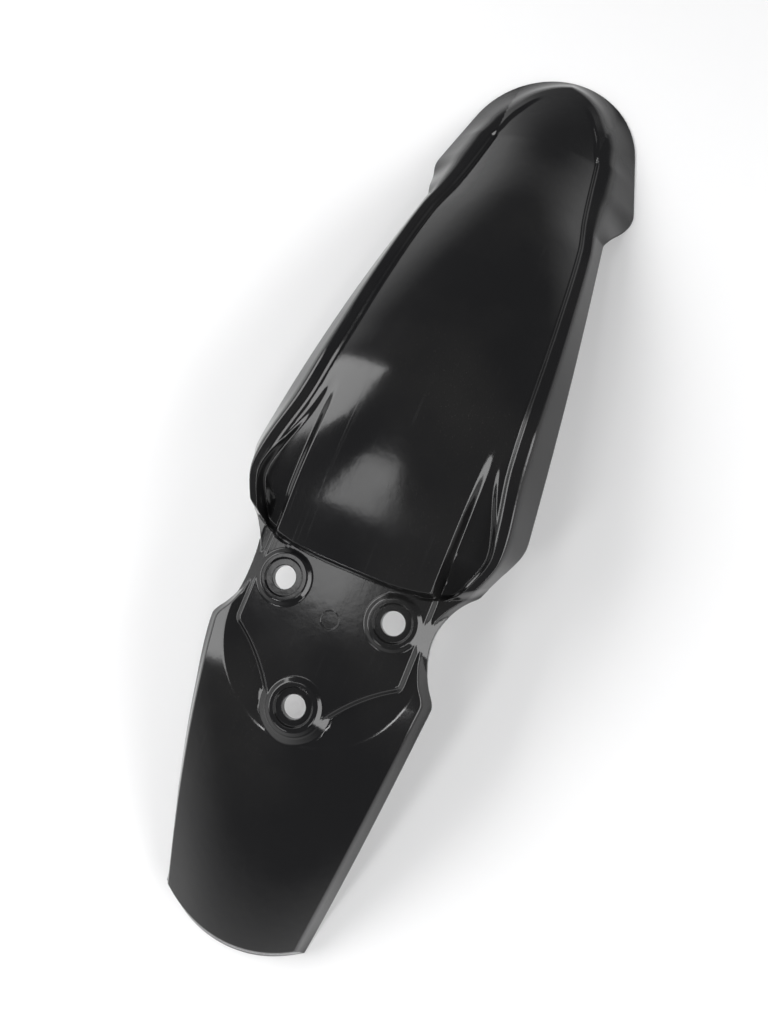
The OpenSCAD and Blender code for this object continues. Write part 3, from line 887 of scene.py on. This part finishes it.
# Colour: black right through, with a thin veil of dust and its grains
dust = pattern(tree, place_in, -1900, 600, DUST)
grains = ranged(tree, pattern(tree, place_in, -1900, 350, SPECKS), (-1450, 350), 0.0, 1.0, LEAST_DUST)
veil = joined(tree, "MULTIPLY", grains, dust, (-1250, 500))
tree.links.new(mixed(tree, veil, BLACK, DUSTY, (-300, 400)), shader.inputs["Base Color"])

# Polish: uneven from the mould, dulled by rub marks
rubbed = joined(tree, "MAXIMUM", rub_marks(tree, place_in, RUB_TURNS[0], -1900, 0),
                rub_marks(tree, place_in, RUB_TURNS[1], -1900, -600), (-1000, -200))
polish = pattern(tree, place_in, -1900, 150, SHEEN, POLISH_BEST, POLISH_WORST)
dulled = joined(tree, "MULTIPLY", rubbed, RUB_DULLING, (-700, 0))
tree.links.new(joined(tree, "ADD", polish, dulled, (-500, 100)), shader.inputs["Roughness"])

# Relief: the slight waviness of a moulded skin, and the rub marks
ripple = noise(tree, place_in, (-900, -500), RIPPLE_SCALE, RIPPLE_DETAIL)
scratched = joined(tree, "MULTIPLY", rubbed, RUB_DEPTH, (-700, -300))
bump = node(tree, "ShaderNodeBump", (-300, -300))
bump.inputs["Strength"].default_value = RELIEF_STRENGTH
bump.inputs["Distance"].default_value = RELIEF_DEPTH
tree.links.new(joined(tree, "SUBTRACT", ripple, scratched, (-500, -400)), bump.inputs["Height"])
tree.links.new(bump.outputs["Normal"], shader.inputs["Normal"])
mesh.materials.append(plastic)


def seen_rays(tree, x, y):
    """Rays that show the background itself: straight on, mirrored or through glass."""
    path = node(tree, "ShaderNodeLightPath", (x, y)).outputs
    mirrored = joined(tree, "MAXIMUM", path["Is Camera Ray"], path["Is Glossy Ray"], (x + 200, y))
    return joined(tree, "MAXIMUM", mirrored, path["Is Transmission Ray"], (x + 400, y))


# Floor under the lowest edges
FLOOR_HALF = 6.0
FLOOR_GREY, FLOOR_ROUGH = (0.9, 0.9, 0.9, 1), 0.9
FADE_START, FADE_END = 0.65, 1.5
low_z = cad_box[0].z
floor_corners = [(x * FLOOR_HALF, y * FLOOR_HALF, low_z) for x, y in ((-1, -1), (1, -1), (1, 1), (-1, 1))]
floor_mesh = bpy.data.meshes.new("floor")
floor_mesh.from_pydata(floor_corners, [], [(0, 1, 2, 3)])
floor = bpy.data.objects.new("floor", floor_mesh)
bpy.context.scene.collection.objects.link(floor)
paper = bpy.data.materials.new("pale_floor")
paper.use_nodes = True
tree = paper.node_tree
matt = tree.nodes["Principled BSDF"]
matt.inputs["Base Color"].default_value = FLOOR_GREY
matt.inputs["Roughness"].default_value = FLOOR_ROUGH

# Further out the floor runs over into the white background
out_from = node(tree, "ShaderNodeVectorMath", (-900, 300), operation="LENGTH")
tree.links.new(node(tree, "ShaderNodeTexCoord", (-1100, 300)).outputs["Object"], out_from.inputs[0])
far = ranged(tree, out_from.outputs["Value"], (-700, 300), FADE_START, FADE_END)
white = node(tree, "ShaderNodeEmission", (-300, -300))
fade = node(tree, "ShaderNodeMixShader", (0, 300))
tree.links.new(joined(tree, "MULTIPLY", far, seen_rays(tree, -900, 700), (-400, 400)), fade.inputs["Fac"])
tree.links.new(matt.outputs["BSDF"], fade.inputs[1])
tree.links.new(white.outputs["Emission"], fade.inputs[2])
tree.links.new(fade.outputs["Shader"], tree.nodes["Material Output"].inputs["Surface"])
floor_mesh.materials.append(paper)

# Camera at the photograph's angle: its turns in degrees, its place to the right of, above and behind the
# object's origin along its own axes, and its focal length in pixels of a picture 1024 pixels high
VIEW_YAW, VIEW_PITCH, VIEW_ROLL = 67.6, 3.7, -12.0
VIEW_PLACE = (32.0, 61.0, 541.0)
FOCAL_PX, PICTURE_PX, SENSOR = 780.0, 1024.0, 36.0
turn = Matrix.Rotation(math.radians(VIEW_YAW), 3, "Z") @ Matrix.Rotation(math.radians(VIEW_PITCH), 3, "Y")
turn = turn @ Matrix.Rotation(math.radians(VIEW_ROLL), 3, "X")
camera_data = bpy.data.cameras.new("camera")
camera_data.sensor_width = SENSOR
camera_data.lens = FOCAL_PX * SENSOR / PICTURE_PX
camera_data.clip_start, camera_data.clip_end = 0.01, 50.0
camera = bpy.data.objects.new("camera", camera_data)
place = turn.transposed() @ Vector(VIEW_PLACE) * MM
camera.matrix_world = Matrix.LocRotScale(place, turn.transposed().to_quaternion(), None)
bpy.context.scene.collection.objects.link(camera)
bpy.context.scene.camera = camera

# Lamps: place, what they face, width and height in metres, and power in watts
LAMPS = {
    "left_softbox": ((0.1, 1.3, 0.9), (0.1, 0, -0.05), (2.0, 0.9), 27),
    "right_softbox": ((0.1, -1.4, 0.8), (0.1, 0, -0.05), (2.0, 0.6), 21),
    "top_softbox": ((0.12, 0.42, 1.5), (0.1, 0, 0), (0.5, 0.3), 1.7),
    "rear_lamp": ((-0.78, 0.36, 1.05), (0, 0, 0), (0.24, 0.24), 2.6),
    "corner_lamp": ((-0.53, -0.47, 1.09), (0, 0, 0), (0.3, 0.22), 2.2),
}
for name, (at, aim, (width, height), power) in LAMPS.items():
    data = bpy.data.lights.new(name, "AREA")
    data.shape = "RECTANGLE"
    data.size, data.size_y, data.energy = width, height, power
    lamp = bpy.data.objects.new(name, data)
    bpy.context.scene.collection.objects.link(lamp)
    way = Vector(aim) - Vector(at)
    lamp.matrix_world = Matrix.LocRotScale(Vector(at), way.to_track_quat("-Z", "Y"), None)

# World: white all round the object where it is seen, with a dim grey ceiling above
CEILING, WHITE = (0.16, 0.16, 0.165, 1), (1, 1, 1, 1)
WHITE_UP_TO, CEILING_FROM = 0.1, 0.4
world = bpy.data.worlds.new("studio")
bpy.context.scene.world = world
world.use_nodes = True
tree = world.node_tree
way = node(tree, "ShaderNodeSeparateXYZ", (-1100, -200))
tree.links.new(node(tree, "ShaderNodeTexCoord", (-1300, -200)).outputs["Generated"], way.inputs["Vector"])
low_down = ranged(tree, way.outputs["Z"], (-900, -200), WHITE_UP_TO, CEILING_FROM, 1.0, 0.0)
seen_low = joined(tree, "MULTIPLY", seen_rays(tree, -1100, 100), low_down, (-500, 0))
tree.links.new(mixed(tree, seen_low, CEILING, WHITE, (-300, 0)), tree.nodes["Background"].inputs["Color"])
bpy.context.scene.view_settings.view_transform = "Standard"
